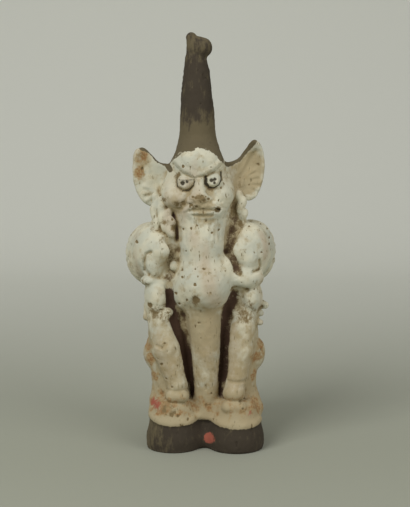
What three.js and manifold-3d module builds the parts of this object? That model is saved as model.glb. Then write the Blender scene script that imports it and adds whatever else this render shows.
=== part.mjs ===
// A tomb guardian in moulded terracotta: a hoofed beast sitting up on its haunches, with a frowning demon's
// face, wide ears, a tall horn of drawn-up hair, round wings at its shoulders and a full belly, on a low
// rocky plinth. Figure and plinth were joined while the clay was soft, so they are one solid.
// Millimetres, +Z up. The beast faces -Y. The origin is the middle of the underside.
//
// The form is built up as a modeller works. Pellets and rolls of clay are blended together, hollows are
// pressed in, and ridges and grooves are drawn on. A block of samples holds the distance to the surface,
// and its zero level is then skinned and thinned to few triangles.
import * as THREE from "three";
import { SimplifyModifier } from "three/addons/modifiers/SimplifyModifier.js";
import { mergeVertices } from "three/addons/utils/BufferGeometryUtils.js";
import Module from "manifold-3d";

const HORN_TOP = 315.5; // centre of the knob that ends the horn
const HEAD = [-2.5, -6, 204.5]; // middle of the head, between the cheeks
const BELLY = [2.5, -20.5, 131.5];
const SHOULDER_SPAN = 122; // across the two wings
const PLINTH_HEIGHT = 22; // up to its rim
const GROUND_TOP = 39.5; // the ground rises from the rim to this height under the body
const DEEPEST = -4; // the clay reaches below the ground and is then cut flat

const CELL = 1.6; // spacing of the samples
const REACH = 10; // how far off a shape it still acts on the samples
const FADE = 4; // over which a drawn stroke dies away at the ends of its depth
const TRIANGLES = 9300; // kept when the skin is thinned
const THINNING_STEP = 24; // fewer corners at each further try

// A block of clay, empty at first. Distances are negative inside.
class Clay {
  constructor(low, high) {
    this.low = low;
    this.size = low.map((l, i) => Math.ceil((high[i] - l) / CELL) + 1);
    const [nx, ny, nz] = this.size;
    this.stride = [1, nx, nx * ny];
    this.field = new Float32Array(nx * ny * nz).fill(REACH);
  }

  // Replaces each sample within a box and a margin around it by change(sample, x, y, z).
  work([low, high], margin, change) {
    const first = low.map((v, i) => Math.max(0, Math.ceil((v - margin - this.low[i]) / CELL)));
    const last = high.map((v, i) =>
      Math.min(this.size[i] - 1, Math.floor((v + margin - this.low[i]) / CELL)));
    for (let k = first[2]; k <= last[2]; k++)
      for (let j = first[1]; j <= last[1]; j++)
        for (let i = first[0]; i <= last[0]; i++) {
          const at = i + j * this.stride[1] + k * this.stride[2];
          const point = [i, j, k].map((n, axis) => this.low[axis] + n * CELL);
          this.field[at] = change(this.field[at], ...point);
        }
  }

  add(shape, blend = 3) {
    this.work(shape.box, REACH, (was, x, y, z) => softest(was, shape.distance(x, y, z), blend));
  }

  cut(shape, blend = 2) {
    this.work(shape.box, REACH, (was, x, y, z) => -softest(-was, shape.distance(x, y, z), blend));
  }

  // Raises the surface along a line by height, or presses it in where height is negative. The line is
  // drawn in the picture plane (x, z), or in (y, z) on a flank. depths is the range it acts over, across
  // that plane.
  draw(line, width, height, depths, plane = "front") {
    const [along, across] = plane === "front" ? [0, 1] : [1, 0];
    const low = [0, 0, Math.min(...line.map((p) => p[1]))];
    const high = [0, 0, Math.max(...line.map((p) => p[1]))];
    low[along] = Math.min(...line.map((p) => p[0]));
    high[along] = Math.max(...line.map((p) => p[0]));
    low[across] = depths[0];
    high[across] = depths[1];
    this.work([low, high], width, (was, x, y, z) => {
      const point = [x, y];
      const off = Math.min(1, lineDistance(line, point[along], z) / width);
      const inside = Math.min(point[across] - depths[0], depths[1] - point[across]) / FADE;
      return was - height * (1 - off * off) ** 2 * Math.min(1, Math.max(0, inside));
    });
  }
}

// The lesser of two distances, rounded over blend.
function softest(a, b, blend) {
  const near = Math.max(blend - Math.abs(a - b), 0) / blend;
  return Math.min(a, b) - (near * near * blend) / 4;
}

function lineDistance(line, u, v) {
  let least = Infinity;
  for (let i = 1; i < line.length; i++) {
    const [au, av] = line[i - 1];
    const du = line[i][0] - au;
    const dv = line[i][1] - av;
    const t = Math.min(1, Math.max(0, ((u - au) * du + (v - av) * dv) / (du * du + dv * dv)));
    least = Math.min(least, Math.hypot(u - au - t * du, v - av - t * dv));
  }
  return least;
}

// An egg-shaped pellet, with its half sizes and its turns about x, y and z in degrees.
function pellet(centre, half, turns = [0, 0, 0]) {
  const m = new THREE.Matrix4().makeRotationFromEuler(
    new THREE.Euler(...turns.map(THREE.MathUtils.degToRad))).elements;
  const reach = [0, 1, 2].map((i) => Math.hypot(m[i] * half[0], m[i + 4] * half[1], m[i + 8] * half[2]));
  return {
    box: [centre.map((c, i) => c - reach[i]), centre.map((c, i) => c + reach[i])],
    distance(x, y, z) {
      const p = [x - centre[0], y - centre[1], z - centre[2]];
      let near = 0;
      let slope = 0;
      for (let i = 0; i < 3; i++) {
        const q = (p[0] * m[4 * i] + p[1] * m[4 * i + 1] + p[2] * m[4 * i + 2]) / half[i];
        near += q * q;
        slope += (q / half[i]) ** 2;
      }
      near = Math.sqrt(near);
      return slope ? (near * (near - 1)) / Math.sqrt(slope) : -Math.min(...half);
    },
  };
}

// A roll of clay through stations [x, y, z, radius].
function roll(...stations) {
  const ends = (side) => [0, 1, 2].map((i) => side * Math.max(...stations.map((s) => side * s[i] + s[3])));
  return {
    box: [ends(-1), ends(1)],
    distance(x, y, z) {
      let least = Infinity;
      for (let i = 1; i < stations.length; i++) {
        const [ax, ay, az, ar] = stations[i - 1];
        const [dx, dy, dz] = [0, 1, 2].map((n) => stations[i][n] - stations[i - 1][n]);
        const dot = (x - ax) * dx + (y - ay) * dy + (z - az) * dz;
        const t = Math.min(1, Math.max(0, dot / (dx * dx + dy * dy + dz * dz)));
        const off = Math.hypot(x - ax - t * dx, y - ay - t * dy, z - az - t * dz);
        least = Math.min(least, off - ar - t * (stations[i][3] - ar));
      }
      return least;
    },
  };
}

// Fur: count locks set side by side along a line, each a short roll that hangs by drop and turns
// outward a little. They differ in length by turns, as locks pressed with a finger do.
function locks(clay, from, to, count, radius, drop) {
  for (let n = 0; n < count; n++) {
    const t = count > 1 ? n / (count - 1) : 0;
    const [x, y, z] = from.map((v, i) => v + t * (to[i] - v));
    const long = n % 2 ? 0.7 : 1;
    const tip = [x + drop[0] * long, y + drop[1] * long, z + drop[2] * long, radius * 0.55];
    clay.add(roll([x, y, z, radius], tip), 1);
  }
}

// The plinth is a low rock with two round lobes in front and a notch between them. Its painted side
// bulges below a lip, and the ground slopes up steeply from the lip to the hooves.
const LOBES = [[-21.5, -20, 22], [28, -21.5, 22.5]]; // x, y, radius
const REAR = { centre: [3, 11.3, 0], half: [46, 33.2, 1000] };

function plinthPlan(x, y) {
  const lobes = LOBES.map(([cx, cy, radius]) => Math.hypot(x - cx, y - cy) - radius);
  const rear = pellet(REAR.centre, REAR.half).distance(x, y, 0);
  return softest(softest(lobes[0], lobes[1], 14), rear, 10);
}

// Part of the plinth from z = bottom up to top(x, y), its edge drawn in from the plan by inset(z).
function slab(bottom, top, highest, round, inset) {
  return {
    box: [[-48, -46, bottom], [54, 48, highest]],
    distance(x, y, z) {
      const side = plinthPlan(x, y) + inset(z) + round;
      const end = Math.max(z - top(x, y), bottom - z) + round;
      return Math.min(Math.max(side, end), 0) + Math.hypot(Math.max(side, 0), Math.max(end, 0)) - round;
    },
  };
}

function plinth(clay) {
  const rim = (x, y) => PLINTH_HEIGHT - 0.03 * x + 0.18 * Math.min(y + 42, 16);
  const highest = rim(-50, 0) + 2;
  clay.add(slab(DEEPEST, rim, highest, 2, (z) => 4 * ((z - 7) / 14) ** 2));
  clay.add(lip(rim, highest), 1.5);
  clay.add(slab(8, () => GROUND_TOP, GROUND_TOP, 5, (z) => 3 + 0.3 * Math.max(0, z - PLINTH_HEIGHT)), 3);
}

// The rim: a roll of clay that follows the edge of the plan and stands out a little from the side.
function lip(rim, highest) {
  return {
    box: [[-48, -46, PLINTH_HEIGHT - 4], [54, 48, highest]],
    distance: (x, y, z) => Math.hypot(plinthPlan(x, y) + 4.6, z - rim(x, y)) - 2.6,
  };
}

// Trunk: rump, back, breast, belly, and the tapering front between the forelegs.
function body(clay) {
  clay.add(pellet([4, 14, 59.5], [33, 28, 38]));
  clay.add(pellet([3.5, 7, 105.5], [31, 26, 48]), 8);
  clay.add(pellet([1, 3, 149.5], [34, 24, 34]), 8);
  clay.add(pellet([1.5, -19, 160], [17.5, 18, 27]), 6);
  clay.add(pellet([20, -15, 144], [10, 14, 13]), 4);
  clay.add(pellet(BELLY, [23, 24.5, 22]), 9);
  clay.add(pellet([-8, -16, 125.5], [15, 18, 16]), 4);
  clay.add(roll([3, -19, 109.5, 14], [4.3, -20, 77.5, 11.5], [4.6, -18, 46, 9.5], [4.8, -16, 30, 10]), 6);
}

// Clay left standing behind the forelegs, which closes the gaps between them, the trunk and the haunches.
function webs(clay) {
  clay.add(roll([-27, -7, 131.5, 14], [-27, -8, 81.5, 15], [-23, -9, 41.5, 15]), 4);
  clay.add(roll([31, -7, 131.5, 14], [31, -8, 81.5, 15], [29, -9, 41.5, 15]), 4);
}

function haunches(clay) {
  clay.add(pellet([-30, 9, 72], [14.5, 27, 22]), 3);
  clay.add(pellet([-37.5, -3, 72], [8.6, 12, 11]), 3);
  clay.add(roll([-31, -4, 58, 7], [-30, -9, 48, 6.8], [-33, -12, 37, 8], [-34, -14, 28, 7.5]), 3);
  clay.add(pellet([36, 9, 71], [13.5, 27, 21]), 3);
  clay.add(pellet([43, -3, 73], [9, 12, 13]), 3);
  clay.add(roll([37, -4, 57, 7], [34, -9, 49, 7], [38.5, -12, 38, 8.8], [41.8, -13, 30, 8.6]), 3);
}

// The forelegs hang from broad shoulders, bend at the elbow and stand straight on hooves.
function forelegs(clay) {
  clay.add(pellet([-36, -7, 155.5], [18, 18, 23]), 5);
  clay.add(pellet([-30, -16, 158.5], [11.5, 12, 10]), 6);
  clay.add(pellet([-38, -18, 146.5], [8, 8, 12], [0, 0, 20]), 2);
  clay.add(pellet([-40, -18, 134], [7, 8, 4.2]), 2);
  clay.add(pellet([-34, -15, 121.5], [10.6, 14, 15]), 2.5);
  clay.add(roll([-33, -14, 111.5, 11], [-31, -19, 95, 10], [-27.5, -22, 80.5, 11.2]), 4);
  clay.add(roll([-27.5, -22, 80.5, 11], [-22, -24, 63, 9], [-19, -25, 54, 8]), 3);
  hoof(clay, [-18.5, -25, 49.5], 8.4, 39.5);

  clay.add(pellet([37, -7, 155.5], [18, 18, 23]), 5);
  clay.add(pellet([31, -17, 157.5], [9.5, 11, 11]), 6);
  clay.add(pellet([38.3, -20, 151.8], [7.6, 9, 10]), 2);
  clay.add(pellet([35, -18, 136.5], [14.5, 13, 10]), 4);
  clay.add(pellet([40.5, -14, 120.5], [8.5, 13, 13]), 3);
  clay.add(roll([38, -13, 109.5, 9], [33, -19, 96.5, 10.2], [31.8, -22, 77.5, 9.8]), 4);
  clay.add(roll([31.8, -22, 77.5, 9.4], [29.5, -25, 60, 8.2], [27, -26, 50, 8]), 3);
  hoof(clay, [26.4, -28, 43.5], 8.8, 31.5);
}

// Hollows pressed in between the arms and the breast, under the right arm, and between trunk and forelegs.
function valleys(clay) {
  clay.cut(roll([-25, -23, 168, 3.5], [-20.5, -22, 158, 4.5], [-24, -22, 151, 3.5], [-25.5, -22, 143, 3],
    [-25, -23, 136, 3], [-24.5, -24, 128, 2.8], [-23.5, -24, 112, 3], [-20, -22, 98, 3],
    [-13.5, -20, 78, 3.5], [-9.5, -18, 56, 2.5]), 2);
  clay.cut(roll([26, -19, 180, 4], [24.6, -21, 169.5, 5], [21.5, -22, 158.5, 4], [25.5, -25, 151.8, 2.5],
    [30.4, -28, 140.5, 2.2]), 2);
  clay.cut(roll([24.5, -27, 128, 2], [36, -25, 127.3, 2]), 2);
  clay.cut(pellet([28.5, -26, 117.5], [6, 6, 9]), 3);
  clay.cut(roll([20, -22, 106, 3.5], [19.5, -22, 93, 3], [18.5, -20, 75, 3], [17, -19, 56, 2.5]), 2);
  clay.add(pellet([-21.5, -20, 146], [3.4, 5, 3.4]), 1);
}

// A blunt hoof with a straight front edge, and the pastern that swells above it. The pastern's middle is
// at height z and the hoof stands at sole.
function hoof(clay, [x, y, z], half, sole) {
  const round = 5.2;
  const spread = half - round + 1;
  clay.add(pellet([x, y, z + 2], [half, half * 1.05, half * 0.9]), 1.5);
  for (const back of [0, 6]) {
    const [front, level] = [y - half + 3.5 + back, sole + round - 1.5];
    clay.add(roll([x - spread, front, level, round], [x + spread, front, level, round]), 1.5);
  }
}

// Round wings laid back along the flanks, each a pad with feathers drawn on its side.
function wings(clay) {
  for (const side of [-1, 1]) {
    clay.add(pellet([side * (SHOULDER_SPAN / 2 - 21), 10, 152.5 + side], [21, 22, 25.5]), 3);
    clay.add(pellet([side * 36, 22, 144], [16, 24, 21], [-30, 0, 0]), 5);
  }
}

function neck(clay) {
  clay.add(roll([-24, 0, 200.5, 10], [-27, 0, 173.5, 13]), 4);
  clay.add(roll([20, 0, 200.5, 11], [25, 0, 177.5, 12]), 4);
  clay.add(roll([1, 0, 162.5, 22], [-1, -3, 189.5, 24]), 6);
  clay.add(roll([1.5, -13, 165.5, 17], [1.5, -11, 185.5, 21]), 5);
}

function head(clay) {
  clay.add(pellet([-2.2, -4, 208.5], [26, 25, 27]), 4);
  clay.add(pellet(HEAD, [28.5, 22, 15]), 4);
  clay.add(pellet([-1.5, -16, 226.5], [19, 15.5, 14]), 4); // forehead
  clay.add(pellet([-17, -16, 200], [13, 13.5, 11]), 4);
  clay.add(pellet([14.5, -16, 201], [11.5, 13.5, 11]), 4);
  clay.add(pellet([3, -21, 192.5], [17, 13, 9.5]), 4);
  clay.add(roll([-1.5, -27, 212.5, 4], [0, -29, 201.5, 6]), 3);
  clay.add(pellet([0, -31, 200], [7.8, 6.5, 5]), 2);
  clay.add(pellet([-11.8, -23, 211], [7.2, 8, 6.6]), 1);
  clay.add(pellet([9.8, -23.5, 212.5], [7.2, 8, 6.8]), 1);
  clay.add(roll([-7, -26, 188.5, 3], [4, -29.5, 187.5, 3.4], [13, -26, 188, 3]), 3);
}

// Ears like wide leaves, cupped to the front. Outlines are in the picture plane (x, z).
const EAR_THICK = 5.5;
const EAR_DEPTHS = [-20, 3];
const EARS = [
  {
    edge: [
      [-23, 221.5], [-33, 226], [-40, 233.5], [-46, 237.5], [-52, 234.5], [-54, 222.5],
      [-52.5, 207.5], [-47, 195.5], [-39, 190.5], [-30, 191.5], [-23, 201.5],
    ],
    middle: [-40, 213.5],
    hollow: 1.5,
    groove: [[-47, 229.5], [-42, 217.5], [-34, 205.5]],
    ribs: { from: [-32, 203.5], angles: [165, 190, 215], length: 13 },
  },
  {
    edge: [
      [19, 223.5], [29, 228], [35, 236], [41.5, 243.5], [47, 240.5], [50.3, 230.5],
      [50.3, 217.5], [47, 204.5], [40, 196], [29, 197.5], [19, 205.5],
    ],
    middle: [37, 219.5],
    hollow: 5,
    groove: [[43, 234.5], [38, 224.5], [31, 214.5]],
    ribs: { from: [29, 208.5], angles: [20, 0, -20, -42], length: 17 },
  },
];

function ear({ edge, middle: [mx, mz], hollow }) {
  const curve = new THREE.CatmullRomCurve3(edge.map(([x, z]) => new THREE.Vector3(x, z, 0)), true);
  const outline = curve.getPoints(edge.length * 4).map((p) => [p.x, p.y]);
  const sheet = (x, z) => hollow * (0.8 - ((x - mx) ** 2 + ((z - mz) * 0.6) ** 2) / 150) - 1;
  const inside = (x, z) => {
    let within = false;
    for (let i = 1; i < outline.length; i++) {
      const [au, av] = outline[i - 1];
      const [bu, bv] = outline[i];
      if (av > z !== bv > z && x < ((bu - au) * (z - av)) / (bv - av) + au) within = !within;
    }
    return within;
  };
  const [xs, zs] = [0, 1].map((i) => outline.map((p) => p[i]));
  return {
    box: [[Math.min(...xs), -12, Math.min(...zs)], [Math.max(...xs), 12, Math.max(...zs)]],
    distance(x, y, z) {
      const side = lineDistance(outline, x, z) * (inside(x, z) ? -1 : 1) + EAR_THICK / 2;
      const face = Math.abs(y - sheet(x, z));
      return Math.min(Math.max(side, face), 0) + Math.hypot(Math.max(side, 0), face) - EAR_THICK / 2;
    },
  };
}

function ears(clay) {
  for (const shape of EARS) {
    clay.add(ear(shape), 3);
    clay.draw(shape.groove, 4.5, -1.6, EAR_DEPTHS);
    const [x, z] = shape.ribs.from;
    for (const angle of shape.ribs.angles) {
      const turn = THREE.MathUtils.degToRad(angle);
      const reach = (part) => [x + part * Math.cos(turn), z + part * Math.sin(turn)];
      clay.draw([reach(4), reach(shape.ribs.length)], 2.6, 1.1, EAR_DEPTHS);
    }
  }
}

// Horn of drawn-up hair, ending in a small knob with a spur.
function horn(clay) {
  clay.add(roll([-2, -3, 225.5, 18], [-2, -2, 235.5, 16.5], [-2.4, -1, 247.5, 14.3], [-2.9, 0, 267.5, 13.1],
    [-3.3, 1, 282.5, 11.9], [-3.2, 2, 295.5, 10.4], [-4, 2, 305.5, 8.6]), 10);
  clay.add(pellet([0.6, 1, HORN_TOP], [8.4, 8, 8]), 3);
  clay.add(roll([-4.5, 1, HORN_TOP, 6.5], [-7.4, 0, HORN_TOP + 7.6, 4.2]), 4);
}

function fur(clay) {
  locks(clay, [-34, -6, 194.5], [-29, -11, 173.5], 5, 5, [-2, -3, -3]);
  clay.add(roll([-29, -9, 189.5, 7], [-24, -13, 176, 7], [-24, -14, 170, 6]), 3);
  locks(clay, [-29, -13, 187.5], [-23, -16, 176], 4, 4.8, [-1, -3, -4]);
  locks(clay, [29, -5, 200.5], [30, -7, 181.5], 4, 5, [2, -3, -4]);
  locks(clay, [-40, -11, 112], [-27, -21, 109], 4, 5.5, [-3, -4, -8]);
  locks(clay, [45.5, -7, 113.5], [41, -13, 101], 3, 5, [6, -3, -1]);
  locks(clay, [40, -15, 106.5], [30, -19, 105.5], 3, 5, [0, -3, -5]);
}

// The back is plain: a low spine, and a tail that curls up over the rump.
function back(clay) {
  clay.add(roll([0, 20, 209.5, 5], [0, 22, 182.5, 5], [1, 26, 147.5, 5], [3, 31, 107.5, 5],
    [4, 38, 72.5, 5]), 6);
  clay.add(roll([6, 36, 43.5, 6], [14, 40, 59.5, 6.5], [10, 39, 81.5, 6], [2, 35, 95.5, 4]), 2);
}

// Strokes on the front: brows, mouth, the curls of the shoulders and the folds beside the belly.
const FRONT = [-60, -12];
function drawn(clay) {
  clay.draw([[-19, 223], [-12, 218], [-3, 214], [5, 216], [12, 219.5], [17, 224.5]], 3, 1.2, FRONT);
  clay.draw([[-7, 191.1], [4, 191.5], [15, 191.5]], 2.2, -1.8, FRONT);
  clay.draw([[-39, 157.5], [-42.5, 155], [-44.5, 148.5], [-44, 141], [-41, 137.5]], 2.8, -2.2, FRONT);
  clay.draw([[45, 148.5], [45.3, 142.5], [39.5, 139.7]], 2.8, -2, FRONT);
  clay.draw([[-34, 84], [-30, 82.5], [-27, 85]], 2.6, -1.2, FRONT);
  clay.draw([[22, 55.5], [28, 55], [35, 55.5]], 2.4, -1, FRONT);
}

// Strokes on the flanks: feathers that fan back over each wing.
const FEATHERS = 6;
function feathers(clay) {
  for (const depths of [[-75, -30], [30, 75]])
    for (let n = 0; n < FEATHERS; n++) {
      const turn = THREE.MathUtils.degToRad(50 - (n * 125) / (FEATHERS - 1));
      const reach = (part, drop) => [-2 + part * Math.cos(turn), 155.5 + part * Math.sin(turn) - drop];
      clay.draw([reach(9, 0), reach(20, 1), reach(38, 5)], 3.2, -1.6, depths, "side");
    }
}

// Skins the clay. Each cube of samples is split into six tetrahedra about its long diagonal, and each
// tetrahedron that the surface crosses gives one or two triangles.
function skin({ field, size, stride, low }) {
  const corner = [0, 1, 2, 3, 4, 5, 6, 7].map((c) =>
    (c & 1) * stride[0] + ((c >> 1) & 1) * stride[1] + ((c >> 2) & 1) * stride[2]);
  const tetrahedra = [[0, 1, 3, 7], [7, 2, 3, 0], [0, 2, 6, 7], [7, 4, 6, 0], [0, 4, 5, 7], [7, 1, 5, 0]];
  const positions = [];
  const triangles = [];
  const crossings = new Map();
  const place = (at) => [0, 1, 2].map((i) => low[i] + CELL * (Math.floor(at / stride[i]) % size[i]));
  const crossing = (from, to) => {
    const key = Math.min(from, to) * field.length + Math.max(from, to);
    if (!crossings.has(key)) {
      const t = THREE.MathUtils.clamp(field[from] / (field[from] - field[to]), 0.05, 0.95);
      const end = place(to);
      crossings.set(key, positions.length / 3);
      positions.push(...place(from).map((v, i) => v + t * (end[i] - v)));
    }
    return crossings.get(key);
  };
  const splitTetrahedron = (ends) => {
    const solid = ends.filter((e) => field[e] < 0);
    const air = ends.filter((e) => field[e] >= 0);
    let turned = false;
    ends.forEach((a, i) => ends.slice(i + 1).forEach((b) => {
      if (field[a] >= 0 && field[b] < 0) turned = !turned;
    }));
    const face = (...v) => triangles.push(...(turned ? v.reverse() : v));
    if (solid.length === 1) face(...air.map((e) => crossing(solid[0], e)));
    if (solid.length === 3) face(...solid.map((e) => crossing(e, air[0])));
    if (solid.length === 2) {
      const ring = [[0, 0], [0, 1], [1, 1], [1, 0]].map(([s, e]) => crossing(solid[s], air[e]));
      face(ring[0], ring[1], ring[2]);
      face(ring[0], ring[2], ring[3]);
    }
  };
  for (let k = 0; k < size[2] - 1; k++)
    for (let j = 0; j < size[1] - 1; j++)
      for (let i = 0; i < size[0] - 1; i++) {
        const cube = corner.map((step) => i + j * stride[1] + k * stride[2] + step);
        const solid = cube.filter((at) => field[at] < 0).length;
        if (solid > 0 && solid < 8) tetrahedra.forEach((t) => splitTetrahedron(t.map((c) => cube[c])));
      }
  return new THREE.BufferGeometry()
    .setAttribute("position", new THREE.BufferAttribute(new Float32Array(positions), 3))
    .setIndex(triangles);
}

// True where thinning has folded the skin onto itself, so that some edge has more than two faces.
function pinched(geometry) {
  const index = geometry.index.array;
  const seen = new Set();
  for (let i = 0; i < index.length; i += 3)
    for (let n = 0; n < 3; n++) {
      const edge = `${index[i + n]},${index[i + ((n + 1) % 3)]}`;
      if (seen.has(edge)) return true;
      seen.add(edge);
    }
  return false;
}

// Thins the skin to the wanted number of triangles, or to a few less where that would pinch it.
async function thinned(geometry) {
  let surplus = geometry.getAttribute("position").count - TRIANGLES / 2;
  let result = await new SimplifyModifier().modify(geometry, surplus);
  while (pinched(result)) {
    surplus += THINNING_STEP;
    result = await new SimplifyModifier().modify(geometry, surplus);
  }
  return result;
}

const clay = new Clay([-70, -60, DEEPEST - 4], [70, 60, 340]);
plinth(clay);
body(clay);
webs(clay);
haunches(clay);
wings(clay);
forelegs(clay);
neck(clay);
valleys(clay);
head(clay);
ears(clay);
horn(clay);
fur(clay);
back(clay);
drawn(clay);
feathers(clay);

const wasm = await Module();
wasm.setup();
function solidOf(geometry) {
  return new wasm.Manifold(new wasm.Mesh({
    numProp: 3,
    vertProperties: new Float32Array(geometry.getAttribute("position").array),
    triVerts: new Uint32Array(geometry.index.array),
  }));
}

const below = new THREE.BoxGeometry(200, 200, 40).translate(0, 0, -20);
below.deleteAttribute("normal");
below.deleteAttribute("uv");
const figure = solidOf(await thinned(skin(clay))).subtract(solidOf(mergeVertices(below))).getMesh();

const terracotta = new THREE.MeshStandardMaterial({ color: 0xc9bfa6, roughness: 0.95, metalness: 0 });
const mesh = new THREE.Mesh(
  new THREE.BufferGeometry()
    .setAttribute("position", new THREE.BufferAttribute(figure.vertProperties, 3))
    .setIndex(new THREE.BufferAttribute(figure.triVerts, 1)),
  terracotta,
);
mesh.name = "figure_and_plinth";

const guardian = new THREE.Group();
guardian.add(mesh);
export default guardian;
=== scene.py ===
import bpy
import numpy as np
from mathutils import Euler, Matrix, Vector


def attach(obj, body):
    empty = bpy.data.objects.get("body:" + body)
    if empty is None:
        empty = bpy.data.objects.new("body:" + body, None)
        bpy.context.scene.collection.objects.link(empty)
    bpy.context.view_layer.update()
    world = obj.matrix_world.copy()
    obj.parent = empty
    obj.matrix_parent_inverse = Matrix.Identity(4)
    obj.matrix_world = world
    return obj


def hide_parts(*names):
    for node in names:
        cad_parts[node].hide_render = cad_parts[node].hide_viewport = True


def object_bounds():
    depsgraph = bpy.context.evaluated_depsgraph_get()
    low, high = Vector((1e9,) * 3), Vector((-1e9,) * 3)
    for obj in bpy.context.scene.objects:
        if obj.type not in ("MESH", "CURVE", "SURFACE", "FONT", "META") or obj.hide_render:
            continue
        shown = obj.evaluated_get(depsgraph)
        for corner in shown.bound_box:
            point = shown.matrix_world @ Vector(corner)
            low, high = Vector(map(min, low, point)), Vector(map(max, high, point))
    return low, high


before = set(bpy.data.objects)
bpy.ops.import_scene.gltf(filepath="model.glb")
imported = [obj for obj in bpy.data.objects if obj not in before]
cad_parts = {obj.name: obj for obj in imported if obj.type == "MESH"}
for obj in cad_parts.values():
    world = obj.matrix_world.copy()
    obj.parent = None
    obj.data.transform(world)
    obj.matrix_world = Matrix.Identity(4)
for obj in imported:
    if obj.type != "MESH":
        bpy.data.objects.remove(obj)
cad_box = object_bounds()

# The clay.
# Guardian and plinth are one body of coarse low-fired earthenware. It was pressed in moulds, luted while
# soft and worked over by hand with pellets and rolls of clay, a pressing finger and a pointed tool.
PIECE = "figure_and_plinth"
CELL = 0.8  # mm between the samples of distance
REACH = 10.0  # mm off a shape that it still acts on the samples
FADE = 4.0  # mm over which a drawn stroke dies away at the ends of its depth
FRONT = (-60, -12)  # depths that a stroke on the front reaches


def softest(a, b, blend):
    """The lesser of two distances, rounded over blend."""
    near = np.maximum(blend - np.abs(a - b), 0) / blend
    return np.minimum(a, b) - near * near * blend / 4


def line_distance(line, u, v):
    least = np.float32(1e9)
    for (au, av), (bu, bv) in zip(line, line[1:]):
        du, dv = bu - au, bv - av
        t = np.clip(((u - au) * du + (v - av) * dv) / (du * du + dv * dv), 0, 1)
        least = np.minimum(least, np.hypot(u - au - t * du, v - av - t * dv))
    return least


class Clay:
    """A block of samples of the distance to the surface, in mm and negative inside the clay."""

    def __init__(self, low, high):
        self.low = np.array(low, np.float32)
        self.axes = [np.arange(a, b, CELL, dtype=np.float32) for a, b in zip(low, high)]
        self.field = np.full([len(a) for a in self.axes], REACH, np.float32)

    def window(self, box, margin):
        ends = [np.searchsorted(a, (l - margin, h + margin)) for a, l, h in zip(self.axes, *box)]
        part = tuple(slice(*e) for e in ends)
        return part, np.ix_(*(a[p] for a, p in zip(self.axes, part)))

    def add(self, shape, blend=3):
        box, distance = shape
        part, grid = self.window(box, REACH)
        self.field[part] = softest(self.field[part], distance(*grid), blend)

    def cut(self, shape, blend=2):
        box, distance = shape
        part, grid = self.window(box, REACH)
        self.field[part] = -softest(-self.field[part], distance(*grid), blend)

    def draw(self, line, width, height, depths=FRONT, flank=False):
        """Raises the surface along a line by height, or presses it in where height is negative.

        The line is drawn in the picture plane (x, z), or in (y, z) on a flank.
        """
        us, vs = zip(*line)
        low, high = [min(us), depths[0], min(vs)], [max(us), depths[1], max(vs)]
        if flank:
            low[:2], high[:2] = low[1::-1], high[1::-1]
        part, (x, y, z) = self.window((low, high), width)
        along, across = (y, x) if flank else (x, y)
        off = np.minimum(line_distance(line, along, z) / width, 1)
        inside = np.clip(np.minimum(across - depths[0], depths[1] - across) / FADE, 0, 1)
        self.field[part] -= height * (1 - off * off) ** 2 * inside


def pellet(centre, half, turns=(0, 0, 0)):
    """An egg-shaped pellet, with its half sizes and its turns about x, y and z in degrees."""
    turn = np.array(Euler(np.radians(turns)).to_matrix(), np.float32)
    centre, half = np.array(centre, np.float32), np.array(half, np.float32)
    reach = np.sqrt(((turn * half) ** 2).sum(1))

    def distance(*point):
        off = [p - c for p, c in zip(point, centre)]
        near = slope = 0
        for i in range(3):
            q = sum(float(turn[n, i]) * off[n] for n in range(3) if abs(turn[n, i]) > 1e-6) / half[i]
            near = near + q * q
            slope = slope + (q / half[i]) ** 2
        near = np.sqrt(near)
        return near * (near - 1) / np.sqrt(slope + 1e-12)

    return (centre - reach, centre + reach), distance


def roll(*stations):
    """A roll of clay through stations (x, y, z, radius)."""
    ends = np.array(stations, np.float32)
    box = ((ends[:, :3] - ends[:, 3:]).min(0), (ends[:, :3] + ends[:, 3:]).max(0))

    def distance(x, y, z):
        least = np.float32(1e9)
        for a, b in zip(ends, ends[1:]):
            dx, dy, dz = b[:3] - a[:3]
            along = (x - a[0]) * dx + (y - a[1]) * dy + (z - a[2]) * dz
            t = np.clip(along / (dx * dx + dy * dy + dz * dz), 0, 1)
            off = np.sqrt((x - a[0] - t * dx) ** 2 + (y - a[1] - t * dy) ** 2 + (z - a[2] - t * dz) ** 2)
            least = np.minimum(least, off - a[3] - t * (b[3] - a[3]))
        return least

    return box, distance


clay = Clay((-63, -50, -6), (63, 51, 332))

# The plinth.
# A low rock with two round lobes in front and a notch between them. Its painted side bulges below a lip
# of clay, and the ground rises steeply from the lip to the hooves. It is closed flat underneath.
PLINTH_HEIGHT = 22
GROUND_TOP = 39.5
LOBES = [(-21.5, -20, 22), (28, -21.5, 22.5)]  # x, y, radius
REAR = pellet((3, 11.3, 0), (46, 33.2, 1000))


def plinth_plan(x, y):
    left, right = (np.hypot(x - cx, y - cy) - radius for cx, cy, radius in LOBES)
    return softest(softest(left, right, 14), REAR[1](x, y, np.float32(0)), 10)


def rim(x, y):
    return PLINTH_HEIGHT - 0.03 * x + 0.18 * np.minimum(y + 42, 16)


def slab(bottom, top, highest, rounding, inset):
    """Part of the plinth up to top(x, y), its edge drawn in from the plan by inset(z)."""

    def distance(x, y, z):
        side = plinth_plan(x, y) + inset(z) + rounding
        end = np.maximum(z - top(x, y), bottom - z) + rounding
        outside = np.hypot(np.maximum(side, 0), np.maximum(end, 0))
        return np.minimum(np.maximum(side, end), 0) + outside - rounding

    return ((-48, -46, bottom), (54, 48, highest)), distance


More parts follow.
